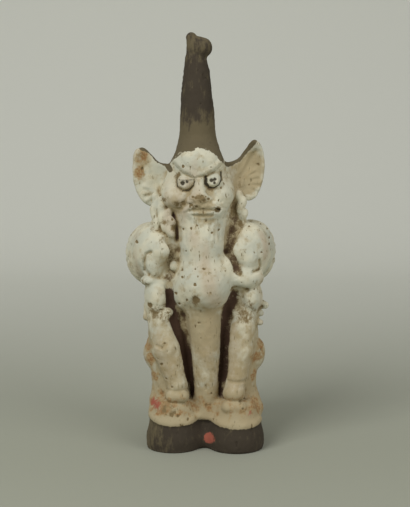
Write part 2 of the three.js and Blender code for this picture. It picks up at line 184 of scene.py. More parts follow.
RIM_HIGHEST = 28
clay.add(slab(-4, rim, RIM_HIGHEST, 2, lambda z: 4 * ((z - 7) / 14) ** 2))
lip = lambda x, y, z: np.hypot(plinth_plan(x, y) + 4.6, z - rim(x, y)) - 2.6
clay.add((((-48, -46, PLINTH_HEIGHT - 4), (54, 48, RIM_HIGHEST)), lip), 1.5)
clay.add(slab(8, lambda x, y: GROUND_TOP, GROUND_TOP, 5, lambda z: 3 + 0.3 * np.maximum(0, z - PLINTH_HEIGHT)), 3)

# The trunk.
# Rump, back, breast and the full belly, and the tapering front that stands between the forelegs. Clay was
# left standing behind the forelegs, where it closes the gaps to the haunches.
BELLY = (2.5, -20.5, 131.5)
for centre, half, blend in (
    ((4, 14, 59.5), (33, 28, 38), 3),
    ((3.5, 7, 105.5), (31, 26, 48), 8),
    ((1, 3, 149.5), (34, 24, 34), 8),
    ((1.5, -19, 160), (17.5, 18, 27), 6),
    ((20, -15, 144), (10, 14, 13), 4),
    (BELLY, (23, 24.5, 22), 9),
    ((-8, -16, 125.5), (15, 18, 16), 4),
):
    clay.add(pellet(centre, half), blend)
clay.add(roll((3, -19, 109.5, 14), (4.3, -20, 77.5, 11.5), (4.6, -18, 46, 9.5), (4.8, -16, 30, 10)), 6)
clay.add(roll((-27, -7, 131.5, 14), (-27, -8, 81.5, 15), (-23, -9, 41.5, 15)), 4)
clay.add(roll((31, -7, 131.5, 14), (31, -8, 81.5, 15), (29, -9, 41.5, 15)), 4)

# The haunches.
# Each hind leg is folded up beside the rump, with its foot forward on the plinth's edge.
clay.add(pellet((-30, 9, 72), (14.5, 27, 22)), 3)
clay.add(pellet((-37.5, -3, 72), (8.6, 12, 11)), 3)
clay.add(roll((-31, -4, 58, 7), (-30, -9, 48, 6.8), (-33, -12, 37, 8), (-34, -14, 28, 7.5)), 3)
clay.add(pellet((36, 9, 71), (13.5, 27, 21)), 3)
clay.add(pellet((43, -3, 73), (9, 12, 13)), 3)
clay.add(roll((37, -4, 57, 7), (34, -9, 49, 7), (38.5, -12, 38, 8.8), (41.8, -13, 30, 8.6)), 3)

# The wings.
# Round wings lie back along the flanks, each a pad of clay with feathers drawn on its side.
SHOULDER_SPAN = 122
for side in (-1, 1):
    clay.add(pellet((side * (SHOULDER_SPAN / 2 - 21), 10, 152.5 + side), (21, 22, 25.5)), 3)
    clay.add(pellet((side * 36, 22, 144), (16, 24, 21), (-30, 0, 0)), 5)

# The forelegs.
# They hang from broad shoulders, bend at the elbow and stand straight on blunt hooves.


def hoof(x, y, z, half, sole):
    """A hoof with a straight front edge that stands at sole, and its pastern with its middle at z."""
    rounding = 5.2
    spread = half - rounding + 1
    clay.add(pellet((x, y, z + 2), (half, half * 1.05, half * 0.9)), 1.5)
    for back in (0, 6):
        front, level = y - half + 3.5 + back, sole + rounding - 1.5
        clay.add(roll((x - spread, front, level, rounding), (x + spread, front, level, rounding)), 1.5)


clay.add(pellet((-36, -7, 155.5), (18, 18, 23)), 5)
clay.add(pellet((-30, -16, 158.5), (11.5, 12, 10)), 6)
clay.add(pellet((-38, -18, 146.5), (8, 8, 12), (0, 0, 20)), 2)
clay.add(pellet((-40, -18, 134), (7, 8, 4.2)), 2)
clay.add(pellet((-34, -15, 121.5), (10.6, 14, 15)), 2.5)
clay.add(roll((-33, -14, 111.5, 11), (-31, -19, 95, 10), (-27.5, -22, 80.5, 11.2)), 4)
clay.add(roll((-27.5, -22, 80.5, 11), (-22, -24, 63, 9), (-19, -25, 54, 8)), 3)
hoof(-18.5, -25, 49.5, 8.4, 39.5)

clay.add(pellet((37, -7, 155.5), (18, 18, 23)), 5)
clay.add(pellet((31, -17, 157.5), (9.5, 11, 11)), 6)
clay.add(pellet((38.3, -20, 151.8), (7.6, 9, 10)), 2)
clay.add(pellet((35, -18, 136.5), (14.5, 13, 10)), 4)
clay.add(pellet((40.5, -14, 120.5), (8.5, 13, 13)), 3)
clay.add(roll((38, -13, 109.5, 9), (33, -19, 96.5, 10.2), (31.8, -22, 77.5, 9.8)), 4)
clay.add(roll((31.8, -22, 77.5, 9.4), (29.5, -25, 60, 8.2), (27, -26, 50, 8)), 3)
hoof(26.4, -28, 43.5, 8.8, 31.5)

# The neck.
# A thick neck with masses of mane down both sides, blended into breast and shoulders.
clay.add(roll((-24, 0, 200.5, 10), (-27, 0, 173.5, 13)), 4)
clay.add(roll((20, 0, 200.5, 11), (25, 0, 177.5, 12)), 4)
clay.add(roll((1, 0, 162.5, 22), (-1, -3, 189.5, 24)), 6)
clay.add(roll((1.5, -13, 165.5, 17), (1.5, -11, 185.5, 21)), 5)

# Hollows pressed in between the arms and the breast, under the right arm, and beside the forelegs.
clay.cut(roll((-25, -23, 168, 3.5), (-20.5, -22, 158, 4.5), (-24, -22, 151, 3.5), (-25.5, -22, 143, 3),
              (-25, -23, 136, 3), (-24.5, -24, 128, 2.8), (-23.5, -24, 112, 3), (-20, -22, 98, 3),
              (-13.5, -20, 78, 3.5), (-9.5, -18, 56, 2.5)))
clay.cut(roll((26, -19, 180, 4), (24.6, -21, 169.5, 5), (21.5, -22, 158.5, 4), (25.5, -25, 151.8, 2.5),
              (30.4, -28, 140.5, 2.2)))
clay.cut(roll((24.5, -27, 128, 2), (36, -25, 127.3, 2)))
clay.cut(pellet((28.5, -26, 117.5), (6, 6, 9)), 3)
clay.cut(roll((20, -22, 106, 3.5), (19.5, -22, 93, 3), (18.5, -20, 75, 3), (17, -19, 56, 2.5)))
clay.add(pellet((-20.8, -19.5, 145.6), (3.8, 4.6, 4)), 2.5)

# The head.
# A broad skull with a domed forehead, heavy cheeks, a blunt nose and bulging eyes under a frown. The lids,
# the brows, the mouth and the whiskers were drawn with a pointed tool.
HEAD = (-2.5, -6, 204.5)
for centre, half, blend in (
    ((-2.2, -4, 208.5), (26, 25, 27), 4),
    (HEAD, (28.5, 22, 15), 4),
    ((-1.5, -16, 226.5), (19, 15.5, 14), 4),
    ((-17, -16, 200), (13, 13.5, 11), 4),
    ((14.5, -16, 201), (11.5, 13.5, 11), 4),
    ((3, -21, 192.5), (17, 13, 9.5), 4),
):
    clay.add(pellet(centre, half), blend)
clay.add(roll((-1.5, -27, 212.5, 4), (-1, -29, 201.5, 6)), 3)
clay.add(pellet((-1, -31, 199.5), (7.4, 6.5, 5)), 2)
clay.add(pellet((-7, -29.2, 198.2), (3.6, 4, 3.4)), 1.5)
clay.add(pellet((5, -29.2, 198.8), (3.6, 4, 3.4)), 1.5)
clay.add(pellet((-11.8, -23, 211), (7.2, 8, 6.6)), 1)
clay.add(pellet((9.8, -23.5, 212.5), (7.2, 8, 6.8)), 1)
clay.add(roll((-7, -26, 188.5, 3), (4, -29.5, 187.5, 3.4), (13, -26, 188, 3)), 3)

BROW = [(-20.5, 225.5), (-14, 219.6), (-7.5, 216.4), (-4.4, 215), (-1.8, 216.2), (4.4, 217), (10.4, 220.2), (16.2, 225)]
LEFT_LID = [(-18.6, 214.4), (-17.9, 208.8), (-13.8, 205.3), (-8.9, 206), (-5.3, 209.6), (-4.4, 213.4)]
RIGHT_LID = [(3.6, 216.2), (3.4, 211), (6.5, 208.1), (10.4, 207.8), (14.2, 210.2), (16, 214), (15.7, 219.4)]
PUPILS = [(-13.6, 211.4), (9.4, 213.7)]
MOUTH = [(-8.5, 190.2), (0, 191), (8, 190.8), (14, 190.8)]
clay.draw([(u, v + 2.4) for u, v in BROW], 4.5, 1.3)
clay.draw(BROW, 1.9, -1)
for lid in (LEFT_LID, RIGHT_LID):
    clay.draw(lid, 2, -1.1)
for u, v in PUPILS:
    clay.draw([(u - 1, v), (u + 1, v)], 2.8, -1.3)
clay.draw([(7, 207), (9.8, 204.8), (11.2, 201.7), (11, 199)], 2.4, -0.8)
clay.draw([(-9.5, 205), (-11.4, 202), (-11.6, 199)], 2.6, -0.6)
clay.draw([(-12, 190.6), (-8, 193.8), (-2.5, 195), (1, 193.6), (6, 195.2), (11, 194), (15.5, 190.6)], 2.4, 0.9)
clay.draw(MOUTH, 2.1, -1.4)
clay.draw([(12.6, 191.4), (14.6, 190.8)], 2.6, -1.3)
clay.draw([(-6, 188.7), (8, 188.9)], 2, 0.6)
clay.draw([(-5, 186.8), (2, 186.4), (9, 187)], 2.2, -1)
clay.draw([(8.1, 196), (14, 194.4), (19.7, 191.4)], 1.7, -0.6)
clay.draw([(9, 198.2), (16, 196.8)], 1.6, -0.4)
clay.draw([(-23.6, 193.3), (-19, 191.6), (-14, 191.1)], 1.8, -0.7)

# The ears.
# Wide leaves of clay, cupped to the front, with a groove and ribs drawn inside. Their outlines are in the
# picture plane.
EAR_THICK = 5.5
EAR_DEPTHS = (-20, 3)
LEFT_EAR = [(-23, 221.5), (-33, 226), (-40, 233.5), (-46, 237.5), (-52, 234.5), (-54, 222.5),
            (-52.5, 207.5), (-47, 195.5), (-39, 190.5), (-30, 191.5), (-23, 201.5)]
RIGHT_EAR = [(19, 223.5), (29, 228), (35, 236), (41.5, 243.5), (47, 240.5), (50.3, 230.5),
             (50.3, 217.5), (47, 204.5), (40, 196), (29, 197.5), (19, 205.5)]


def rounded(edge, steps=4):
    """A closed smooth line through the points of edge."""
    points = []
    for n in range(len(edge)):
        a, b, c, d = (np.array(edge[(n + i) % len(edge)], float) for i in (-1, 0, 1, 2))
        for t in np.arange(steps) / steps:
            points.append(tuple(0.5 * (2 * b + (c - a) * t + (2 * a - 5 * b + 4 * c - d) * t ** 2
                                       + (3 * b - a - 3 * c + d) * t ** 3)))
    return points + points[:1]


def ear(edge, middle, hollow):
    outline = rounded(edge)
    us, vs = zip(*outline)

    def distance(x, y, z):
        within = np.zeros(np.broadcast(x, z).shape, bool)
        for (au, av), (bu, bv) in zip(outline, outline[1:]):
            if av != bv:
                within ^= ((av > z) != (bv > z)) & (x < (bu - au) * (z - av) / (bv - av) + au)
        side = line_distance(outline, x, z) * np.where(within, -1, 1) + EAR_THICK / 2
        bend = hollow * (0.8 - ((x - middle[0]) ** 2 + ((z - middle[1]) * 0.6) ** 2) / 150) - 1
        face = np.abs(y - bend)
        outside = np.hypot(np.maximum(side, 0), face)
        return np.minimum(np.maximum(side, face), 0) + outside - EAR_THICK / 2

    return ((min(us), -12, min(vs)), (max(us), 12, max(vs))), distance


def ribs(x, z, angles, length):
    for turn in np.radians(angles):
        ends = [(x + part * np.cos(turn), z + part * np.sin(turn)) for part in (4, length)]
        clay.draw(ends, 2.6, 1.1, EAR_DEPTHS)


clay.add(ear(LEFT_EAR, (-40, 213.5), 1.5), 3)
clay.draw([(-47, 229.5), (-42, 217.5), (-34, 205.5)], 4.5, -1.6, EAR_DEPTHS)
ribs(-32, 203.5, (165, 190, 215), 13)
clay.add(ear(RIGHT_EAR, (37, 219.5), 5), 3)
clay.draw([(43.5, 234.5), (41, 230), (37, 221), (32, 214)], 3.2, -2, EAR_DEPTHS)
clay.draw([(32, 209), (33, 204), (36, 200.5), (40, 199)], 2.6, 1.2, EAR_DEPTHS)
ribs(29, 209.5, (38, 20, 2, -16, -34), 17)

# The horn.
# A tall horn of drawn-up hair, smoothed lengthwise, that ends in a small knob with a spur.
HORN_TOP = 315.5
clay.add(roll((-2, -3, 225.5, 18), (-2, -2, 235.5, 16.5), (-2.4, -1, 247.5, 14.3), (-2.9, 0, 267.5, 13.1),
              (-3.3, 1, 282.5, 11.9), (-3.2, 2, 295.5, 10.4), (-4, 2, 305.5, 8.6)), 10)
clay.add(pellet((0.6, 1, HORN_TOP), (8.4, 8, 8)), 3)
clay.add(roll((-4.5, 1, HORN_TOP, 6.5), (-7.4, 0, HORN_TOP + 7.6, 4.2)), 4)

# The fur.
# Locks of mane under the ears and tufts at the elbows, each a short roll that hangs and turns outward.


def locks(start, end, count, radius, drop):
    for n in range(count):
        base = np.array(start) + (np.array(end) - start) * n / max(count - 1, 1)
        tip = base + np.array(drop) * (0.7 if n % 2 else 1)
        clay.add(roll((*base, radius), (*tip, radius * 0.55)), 1)


clay.add(roll((-29, -9, 189.5, 7), (-24, -13, 176, 7), (-24, -14, 170, 6)), 3)
locks((-34, -6, 194.5), (-29, -11, 173.5), 5, 5, (-2, -3, -3))
locks((-29, -13, 187.5), (-23, -16, 176), 4, 4.8, (-1, -3, -4))
locks((29, -5, 200.5), (30, -7, 181.5), 4, 5, (2, -3, -4))
for x, y, z, radius in (
    (-35, -8.5, 198, 3.6), (-31, -12.5, 194.5, 3.8), (-36.5, -11, 190.5, 3.8), (-31, -16, 189.5, 3.8),
    (-35.5, -12, 184, 3.8), (-30, -18, 183, 3.8), (-25.5, -18.5, 186.5, 3.4), (-33.5, -15, 177.5, 3.9),
    (-27.5, -20, 177.3, 3.8), (-23, -20.5, 181, 3.4), (-23.5, -21, 173, 3.8),
    (30.5, -9.5, 200, 3.4), (33, -11, 195, 3.6), (31, -12, 190, 3.6), (34, -11, 185.5, 3.4),
):
    clay.add(pellet((x, y, z), (radius * 0.9, radius * 0.8, radius * 1.3), (0, 5 * x % 60 - 30, 0)), 2.2)
locks((-40, -11, 112), (-27, -21, 109), 4, 5.5, (-3, -4, -8))
locks((45.5, -7, 113.5), (41, -13, 101), 3, 5, (6, -3, -1))
locks((40, -15, 106.5), (30, -19, 105.5), 3, 5, (0, -3, -5))

# The back.
# Plain, with a low spine and a tail that curls up over the rump.
clay.add(roll((0, 20, 209.5, 5), (0, 22, 182.5, 5), (1, 26, 147.5, 5), (3, 31, 107.5, 5), (4, 38, 72.5, 5)), 6)
clay.add(roll((6, 36, 43.5, 6), (14, 40, 59.5, 6.5), (10, 39, 81.5, 6), (2, 35, 95.5, 4)), 2)

# Strokes drawn in the soft clay: the curls of the shoulders, the joints of the legs, the ruff below the chin,
# and feathers on the flanks.
clay.draw([(-38.5, 157.3), (-42.3, 155.6), (-44, 149), (-43.6, 142.5), (-40.5, 139.6)], 2.2, -1.9)
clay.draw([(45.6, 150.6), (46.4, 146), (45.5, 142.8), (41, 141.6)], 2.2, -1.7)
clay.draw([(-34, 84), (-30, 82.5), (-27, 85)], 2.2, -1)
clay.draw([(22, 55.5), (28, 55), (35, 55.5)], 2, -0.9)
for n, u in enumerate((-19, -15.5, -12, -8.5, -4.5, 0, 4, 8, 11.5, 15)):
    top = 184 - 0.02 * u * u - 3 * (n % 3)
    clay.draw([(u, top), (u * 0.98, top - 9 - 2 * (n % 2))], 1.8, -0.45)
FEATHERS = 6
for depths in ((-75, -30), (30, 75)):
    for n in range(FEATHERS):
        turn = np.radians(50 - n * 125 / (FEATHERS - 1))
        ends = [(-2 + part * np.cos(turn), 155.5 + part * np.sin(turn) - drop)
                for part, drop in ((9, 0), (20, 1), (38, 5))]
        clay.draw(ends, 3.2, -1.6, depths, flank=True)

# The surface.
# The clay is cut flat underneath, where it stood, and the level where the distance is nothing is skinned.
np.maximum(clay.field, -clay.axes[2][None, None, :], out=clay.field)


def skin(field):
    """Corners and triangles of the zero level, in mm.

    Each cube of samples is split into six tetrahedra about its long diagonal, and each tetrahedron that
    the surface crosses gives one or two triangles.
    """
    nx, ny, nz = field.shape
    strides = (ny * nz, nz, 1)
    solid = field < 0
    count = np.zeros((nx - 1, ny - 1, nz - 1), np.int8)
    steps = [(i, j, k) for i in (0, 1) for j in (0, 1) for k in (0, 1)]
    for i, j, k in steps:
        count += solid[i:nx - 1 + i, j:ny - 1 + j, k:nz - 1 + k]
    base = np.argwhere((count > 0) & (count < 8)) @ strides
    flat = field.ravel()
    step = {s: s[0] * strides[0] + s[1] * strides[1] + s[2] for s in steps}
    triangles = []
    for first in ((1, 0, 0), (0, 1, 0), (0, 0, 1)):
        for second in ((1, 1, 0), (1, 0, 1), (0, 1, 1)):
            if any(f > s for f, s in zip(first, second)):
                continue
            corners = base[:, None] + [0, step[first], step[second], step[1, 1, 1]]
            outside = (flat[corners] >= 0).astype(np.int8)
            order = np.argsort(outside, axis=1, kind="stable")
            corners = np.take_along_axis(corners, order, 1)
            inner = 4 - outside.sum(1)
            one, three, two = (corners[inner == n] for n in (1, 3, 2))
            for c, pairs in (
                (one, ((0, 1), (0, 2), (0, 3))),
                (three, ((0, 3), (1, 3), (2, 3))),
                (two, ((0, 2), (0, 3), (1, 3))),
                (two, ((0, 2), (1, 3), (1, 2))),
            ):
                triangles.append(np.stack([c[:, p] for p in pairs], 1))
    ends = np.concatenate(triangles)
    place = lambda at: np.stack(np.unravel_index(at, field.shape), -1).astype(np.float32)
    low, high = place(ends[..., 0]), place(ends[..., 1])
    middle = (low + high) / 2
    across = np.cross(middle[:, 1] - middle[:, 0], middle[:, 2] - middle[:, 0])
    turned = (across * (high - low).sum(1)).sum(1) < 0
    ends[turned] = ends[turned][:, ::-1]
    keys = ends.min(2) * field.size + ends.max(2)
    found, index = np.unique(keys, return_inverse=True)
    a, b = found // field.size, found % field.size
    t = np.clip(flat[a] / (flat[a] - flat[b]), 0.05, 0.95)[:, None]
    corners = clay.low + CELL * (place(a) * (1 - t) + place(b) * t)
    return corners, index.reshape(-1, 3)


corners, triangles = skin(clay.field)


def level(points, volume=clay.field, cell=CELL):
    """The value of a volume of samples at points in mm."""
    at = np.clip((points - clay.low) / cell, 0, np.array(volume.shape) - 1.001)
    whole = at.astype(int)
    part = (at - whole).astype(np.float32)
    value = 0
    for i in (0, 1):
        for j in (0, 1):
            for k in (0, 1):
                share = np.abs(1 - np.array((i, j, k), np.float32) - part).prod(1)
                value = value + share * volume[whole[:, 0] + i, whole[:, 1] + j, whole[:, 2] + k]
    return value


def outward(points):
    slope = np.stack([level(points + s) - level(points - s) for s in np.eye(3) * CELL], 1)
    return slope / np.linalg.norm(slope, axis=1, keepdims=True)


def grain(points, size, seed, stretch=(1, 1, 1)):
    """Random values from -1 to 1 that change softly over size mm."""
    count = 32
    lattice = np.random.default_rng(seed).uniform(-1, 1, (count,) * 3).astype(np.float32)
    at = points / (size * np.array(stretch)) + count
    whole = np.floor(at).astype(int)
    part = at - whole
    part = part * part * (3 - 2 * part)
    value = 0
    for i in (0, 1):
        for j in (0, 1):
            for k in (0, 1):
                share = np.abs(1 - np.array((i, j, k)) - part).prod(1)
                ix, iy, iz = (whole + (i, j, k)).T % count
                value = value + share * lattice[ix, iy, iz]
    return value


def lumps(points, size, seed):
    return sum(grain(points, size / 2 ** n, seed + n) / 1.6 ** n for n in range(3))


def surroundings(passes):
    """How much clay lies around each second sample: over a half in a hollow, under it on an edge."""
    share = np.clip(0.5 - clay.field[::2, ::2, ::2] / (4 * CELL), 0, 1)
    for axis in range(3):
        for _ in range(passes):
            share = (share + np.roll(share, 1, axis) + np.roll(share, -1, axis)) / 3
    return share


def ramp(value, start, end):
    return np.clip((value - start) / (end - start), 0, 1)


# Small pits where the slip has come off with a crumb of clay. (x, z, radius) from the front.
PITS = [
    (-4.1, 134.8, 1.8), (-4.1, 122.1, 3.2), (-16.6, 117, 1.6), (-14.1, 139.1, 1.3), (-4.1, 145.8, 1.1),
    (2.6, 146.2, 1.2), (-19.1, 125.6, 1.4), (-10.7, 121.3, 1.2), (-7.3, 176.5, 1.2), (-2.7, 178.9, 1.1),
    (-13.5, 175.4, 1.1), (8.8, 173.4, 1.1), (14.2, 175, 1.1), (-11.2, 159, 1.1), (-50, 164.1, 1.6),
    (53.4, 172.3, 1.2), (54.7, 166.2, 1.2), (54.3, 161.8, 1.1), (47.8, 156.6, 1.3), (-30.6, 69.1, 1.7),
    (8.7, 44.6, 1.2), (31.1, 40.5, 1.6), (-39.4, 115.3, 2.6), (-17.5, 195, 2.2), (-13.2, 196.2, 2.2),
    (1.1, 202.1, 1.7), (2.7, 198.6, 1.7), (6.1, 199.8, 1.5), (-3.5, 200.6, 1.3), (-5.8, 201.4, 1.2),
    (-7, 194.9, 1.4), (-3.2, 193.9, 1.4), (13.2, 191.2, 1.7), (48.5, 112, 1.7),
]


def pitted(points, facing):
    """From 0 to 1 where the surface is pitted: at the pits above, and at random crumbs in between."""
    value = 0
    for x, z, radius in PITS:
        ragged = radius * (1 + 0.35 * grain(points, 1.5, 40))
        value = np.maximum(value, ramp(np.hypot(points[:, 0] - x, points[:, 2] - z), ragged, ragged * 0.5))
    value = value * (facing < -0.15)
    worn = ramp(lumps(points, 16, 30), -0.1, 0.5)
    crumbs = ramp(grain(points, 2, 31, (1, 1, 1.6)), 0.62, 0.78) * worn
    return np.maximum(value, crumbs)


normals = outward(corners)
relief = 0.3 * lumps(corners, 9, 20) + 0.12 * grain(corners, 2.5, 24) + 0.05 * grain(corners, 1.1, 25)
relief -= 0.6 * pitted(corners, normals[:, 1])
relief[corners[:, 2] < 1.5 * CELL] = 0
corners = np.clip(corners + normals * relief[:, None], *(np.array(cad_box) * 1000))

# The skin is thinned, least on the face and on the rest of the front, where the finest strokes are.
MOST_TRIANGLES = 190000
mesh = bpy.data.meshes.new("clay")
mesh.vertices.add(len(corners))
mesh.vertices.foreach_set("co", corners.astype(np.float32).ravel())
mesh.loops.add(triangles.size)
mesh.loops.foreach_set("vertex_index", triangles.astype(np.int32).ravel())
mesh.polygons.add(len(triangles))
mesh.polygons.foreach_set("loop_start", np.arange(0, triangles.size, 3, dtype=np.int32))
mesh.update(calc_edges=True)
figure = bpy.data.objects.new("guardian", mesh)
bpy.context.collection.objects.link(figure)
seen = ramp(normals[:, 1], 0.3, -0.3)
on_face = ramp(np.abs(corners[:, 2] - 206), 30, 24) * ramp(np.abs(corners[:, 0]), 30, 24)
plain = 1 - 0.5 * seen - 0.5 * seen * on_face
shares = figure.vertex_groups.new(name="plain")
for step in np.arange(0, 1.05, 0.1):
    shares.add(np.nonzero(np.abs(plain - step) <= 0.05)[0].tolist(), float(step), "REPLACE")
thin = figure.modifiers.new("thin", "DECIMATE")
thin.ratio = MOST_TRIANGLES / len(triangles)
thin.vertex_group = "plain"
thin.vertex_group_factor = 0.01
depsgraph = bpy.context.evaluated_depsgraph_get()
thinned = bpy.data.meshes.new_from_object(figure.evaluated_get(depsgraph))
figure.modifiers.clear()
figure.vertex_groups.clear()
figure.data = thinned
thinned.shade_smooth()

# Slip, soil, paint and painted shade.
# The fired clay is orange brown. It was dipped in white slip, painted dark on the horn and the plinth's
# side, with touches of red, and drawn on with a brush. Soil has stayed in the hollows. Painted shade darkens
# the same hollows, the gaps beside the forelegs, the place under the belly and the lower part of the figure.
places = np.empty(len(thinned.vertices) * 3, np.float32)
thinned.vertices.foreach_get("co", places)
thinned.vertices.foreach_set("co", places / 1000)
places = places.reshape(-1, 3)
x, y, z = places.T
normals = outward(places)
front = normals[:, 1] < 0.1
near_hollow = 2 * level(places, surroundings(2), 2 * CELL) - 1
wide_hollow = 2 * level(places, surroundings(12), 2 * CELL) - 1


def spot(centre_x, centre_z, radius, edge):
    """1 within radius of a point in the picture plane, on the front, and fading over edge."""
    return ramp(np.hypot(x - centre_x, z - centre_z), radius + edge, radius - edge) * front


def brushed(line, width):
    """1 on a brush stroke in the picture plane, on the front."""
    return ramp(line_distance(line, x, z), width / 2 + 0.6, width / 2 - 0.6) * front


# Tan dust and painted shade: the film darkens the hollows, and the front and sides get darker towards the bottom.
dust_and_shade = 0.9 * ramp(near_hollow, 0, 0.45) + 0.7 * ramp(wide_hollow, -0.05, 0.4)
dust_and_shade = dust_and_shade + 0.85 * ramp(z, 125, 92) * ramp(normals[:, 1], 0.6, 0.2) + 0.5 * ramp(z, 50, 44)
# Soil in the hollows and pits, with painted shade in the same hollows and, below, along the gaps between the parts.
soil_and_shade = 1.1 * ramp(near_hollow, 0.15, 0.6) + 0.8 * ramp(wide_hollow, 0.2, 0.6)
soil_and_shade = np.maximum(soil_and_shade, 1.3 * pitted(places, normals[:, 1]))
for place_x, place_z, radius, share in (
    (1, 200.5, 5, 0.6), (-7, 199, 3, 0.45), (-17.5, 195.5, 4, 0.85), (-13.2, 196.5, 2.6, 1), (-4.5, 193.6, 2.8, 0.8),
    (13.4, 191, 2.4, 1.2), (-17.4, 217, 2.6, 0.8), (-27.3, 180, 3, 0.9), (-21, 176.5, 3, 0.9), (-29, 198, 3, 0.8),
    (26, 187, 3.5, 1), (31, 178, 3, 1.1), (-30.4, 166.5, 2.6, 1), (-37.4, 174.4, 2.5, 0.8), (-4.1, 122, 3.4, 1.1),
    (-33, 110, 7, 0.65), (-27, 106, 5, 0.75), (48, 111.5, 3, 0.9), (35, 110, 10, 0.6), (9.3, 155, 2.5, 0.6),
    (-24.8, 33, 6, 0.6), (31.1, 40.5, 2, 1),
):
    soil_and_shade = np.maximum(soil_and_shade, share * spot(place_x, place_z, radius, 2))
# Painted shade: the deepest hollows, the gaps between the forelegs and the trunk and the hollows beside the breast are
# darkened to a deep brown.
deep_shade = ramp(wide_hollow, 0.3, 0.65)
for gap, width, share in (
    ([(-24.5, 124), (-24, 112), (-20, 98), (-13.5, 78), (-9.5, 56)], 8, 1.25),
    ([(26, 122), (20, 106), (19.5, 93), (18.5, 75), (17, 56)], 8, 1.15),
    ([(-25, 160), (-22, 150), (-25, 136)], 6, 0.75), ([(26, 181), (25, 170), (22, 160), (29, 143)], 6, 0.85),
):
    gap_shade = ramp(line_distance(gap, x, z), width, width * 0.3) * ramp(wide_hollow, -0.15, 0.1) * front
    soil_and_shade = np.maximum(soil_and_shade, share * gap_shade)
    deep_shade = np.maximum(deep_shade, (share - 0.3) * gap_shade)
# Brown stains, on the ears, the face and the horn's foot among them; the spots in the hollows beside the breast and
# under the belly are painted shade.
for place_x, place_z, radius, share in (
    (40, 222, 13, 1.2), (36, 208, 9, 1), (-46, 229, 8, 0.9), (-24, 200, 6, 0.5), (3, 190, 9, 0.8), (0, 200, 8, 0.6),
    (-17, 195, 6, 0.6), (10, 245, 8, 0.4), (-26, 150, 7, 0.8), (27, 172, 9, 0.8), (3, 101, 16, 0.7), (2, 133, 12, 0.3),
):
    dust_and_shade = np.maximum(dust_and_shade, dust_and_shade + share * spot(place_x, place_z, radius, radius / 2))

bare = np.zeros(len(x), np.float32)
for place_x, place_z, radius in (
    (-43, 80, 5), (-41, 70, 6), (-38, 57, 5), (48, 82, 6), (45, 72, 6), (43, 58, 5), (42, 36, 6),
    (-27, 34, 6), (-33, 44, 4), (-47, 230, 6), (-49, 218, 5), (9, 245, 5), (9.3, 155, 2.4),
):
    bare = np.maximum(bare, 0.85 * spot(place_x, place_z, radius, 4))
bare = np.maximum(bare, 0.56 * ramp(z, 50, 42) * ramp(z, 25, 29))

red = np.maximum(spot(6.6, 9.5, 4.5, 2.5), 0.75 * spot(-36, 35.5, 5, 4))
red = np.maximum(red, 0.65 * spot(38.2, 30.5, 3, 3))

side_of_plinth = ramp(z, rim(x, y) - 0.5, rim(x, y) - 2.5)
hair_line = 238 - 0.025 * (x + 2.5) ** 2
horn_paint = ramp(z + 2.5 * lumps(places, 6, 50), hair_line - 2, hair_line + 2) * (np.abs(x + 3) < 21)
paint = np.maximum(side_of_plinth, horn_paint)
for line, width in (
    ([(-46, 237.5), (-39.5, 235), (-33, 227.5), (-27.3, 225), (-24, 221)], 3),
    ([(41, 243), (35, 236.5), (29.5, 229.5), (22, 226)], 4.5),
):
    paint = np.maximum(paint, ramp(line_distance(line, x, z), width, width * 0.5) * (z > 215))
paint = np.maximum(paint, ramp(normals[:, 1], 0.1, 0.4) * (np.abs(x) > 21) * ramp(z, 200, 210))
dark = side_of_plinth * (1 - 0.55 * ramp(x, -18, -38))
dark = np.maximum(dark, 0.95 * ramp(z, 248, 272) * ramp(z, 318, 286) + 0.45 * ramp(z, 285, 300))

lines = np.zeros(len(x), np.float32)
for line, width, share in (
    (LEFT_LID, 1.1, 0.9), (RIGHT_LID, 1.2, 1), ([(-16.5, 213.9), (-10, 214.1), (-5, 213.9)], 1, 0.8),
    ([(4.6, 215), (4.4, 211.6), (6, 209.8)], 1.6, 1), (BROW[:3], 0.8, 0.6), (BROW[4:], 0.8, 0.6),
    ([(12.8, 191.4), (14.6, 190.8)], 1.4, 0.9), ([(-2, 202), (3, 202.6), (5.5, 200.5)], 1, 0.5),
):
    lines = np.maximum(lines, share * brushed(line, width))
for place_x, place_z, radius in ((-13.8, 211.5, 1.9), (-10.3, 212.7, 1.2), (8.3, 213.8, 1.6), (11, 214.6, 1.5), (10.6, 212, 1.2)):
    lines = np.maximum(lines, 0.95 * spot(place_x, place_z, radius, 0.7))

layers = dict(dust_and_shade=dust_and_shade, soil_and_shade=soil_and_shade, deep_shade=deep_shade, bare=bare, red=red, paint=paint, dark=dark, lines=lines)
for name, values in layers.items():
    layer = thinned.attributes.new(name, "FLOAT", "POINT")
    layer.data.foreach_set("value", np.asarray(values, np.float32))


def linear(code):
    """A colour given as sRGB hex, turned to linear."""
    parts = [int(code[n:n + 2], 16) / 255 for n in (1, 3, 5)]
    return [p / 12.92 if p <= 0.04045 else ((p + 0.055) / 1.055) ** 2.4 for p in parts] + [1]


terracotta = bpy.data.materials.new("slipped_terracotta")
terracotta.use_nodes = True
tree = terracotta.node_tree
tree.nodes.clear()


def node(kind, inputs=(), out=0, **settings):
    """Adds a node with its settings, sets or links its inputs, and gives one output."""
    made = tree.nodes.new(kind)
    for name, value in settings.items():
        setattr(made, name, value)
    for name, value in dict(inputs).items():
        if isinstance(value, bpy.types.NodeSocket):
            tree.links.new(value, made.inputs[name])
        else:
            made.inputs[name].default_value = value
    return made.outputs[out] if out is not None else made


def mix(share, first, second):
    inputs = {0: share, 6: first, 7: second}
    return node("ShaderNodeMix", inputs, 2, data_type="RGBA")


def between(value, start, end):
    inputs = {"Value": value, "From Min": start, "From Max": end}
    return node("ShaderNodeMapRange", inputs, interpolation_type="SMOOTHSTEP")


def math(operation, a, b=0.0):
    return node("ShaderNodeMath", {0: a, 1: b}, operation=operation)


